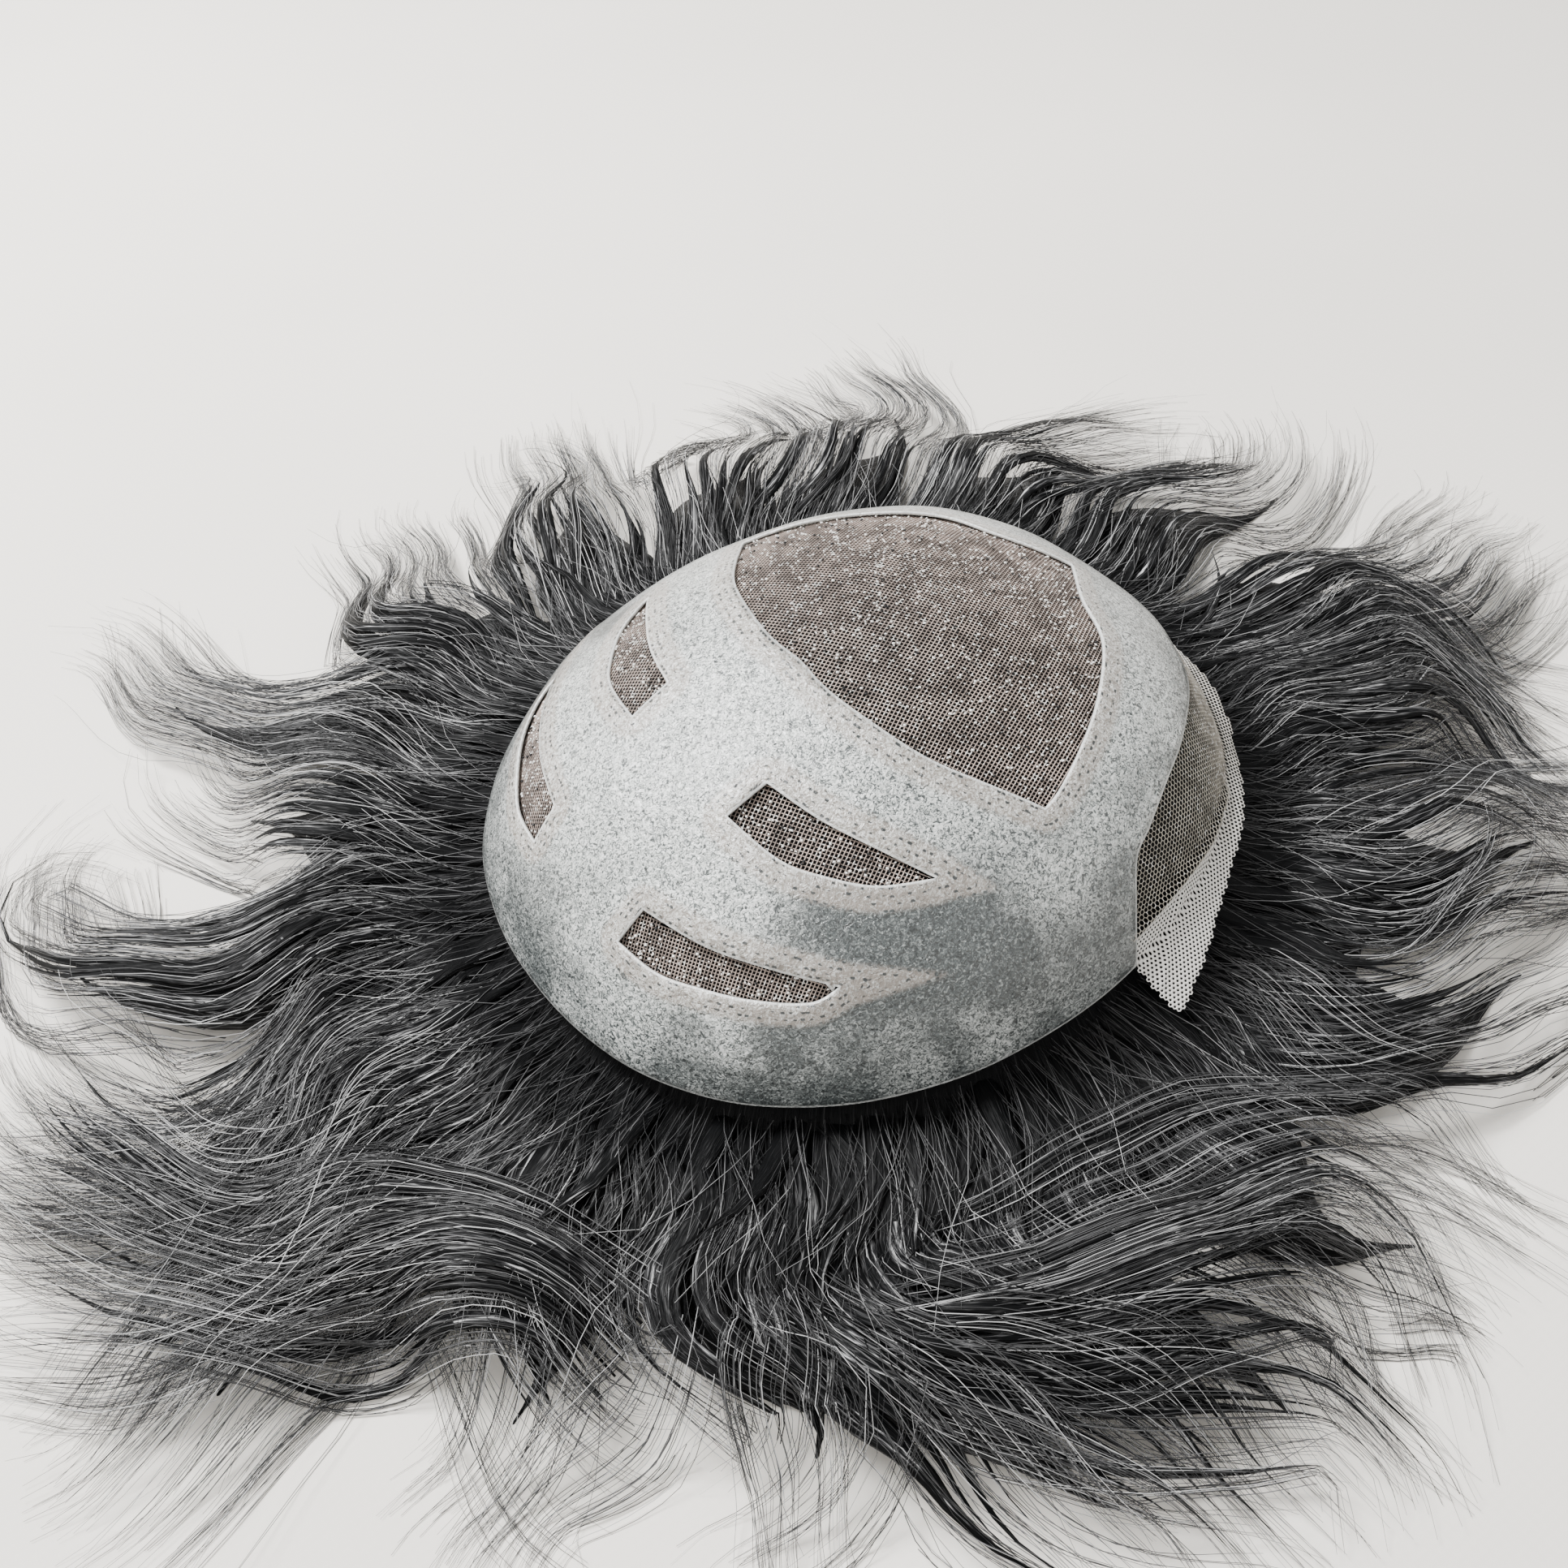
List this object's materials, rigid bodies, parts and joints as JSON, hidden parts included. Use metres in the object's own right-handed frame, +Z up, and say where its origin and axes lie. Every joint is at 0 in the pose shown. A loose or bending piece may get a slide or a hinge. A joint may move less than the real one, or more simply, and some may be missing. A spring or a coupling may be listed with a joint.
{
  "type": "toupee hairpiece",
  "caption": "Poly and net hairpiece base lying turned inside out, dome up, with wavy greying hair spread out from under it.",
  "frame": {"origin": "on the table, under the middle of the whole piece with its hair spread", "axes": "+X towards the front hairline, +Z up, away from the table"},
  "size_m": [0.5064, 0.4368, 0.0838],
  "materials": {
    "poly_film": "thin translucent film over dark hair, lightly crinkled",
    "mono_net": "fine monofilament net",
    "hex_lace": "fine hexagonal lace",
    "hair": "waved strands, near black with grey and silver"
  },
  "bodies": {
    "root": {"poly_skin": "poly_film", "net_top": "mono_net", "net_crown_near": "mono_net", "net_crown_far": "mono_net", "net_back_near": "mono_net", "net_back_far": "mono_net", "lace_front": "hex_lace", "hair": "hair"}
  },
  "joints": []
}
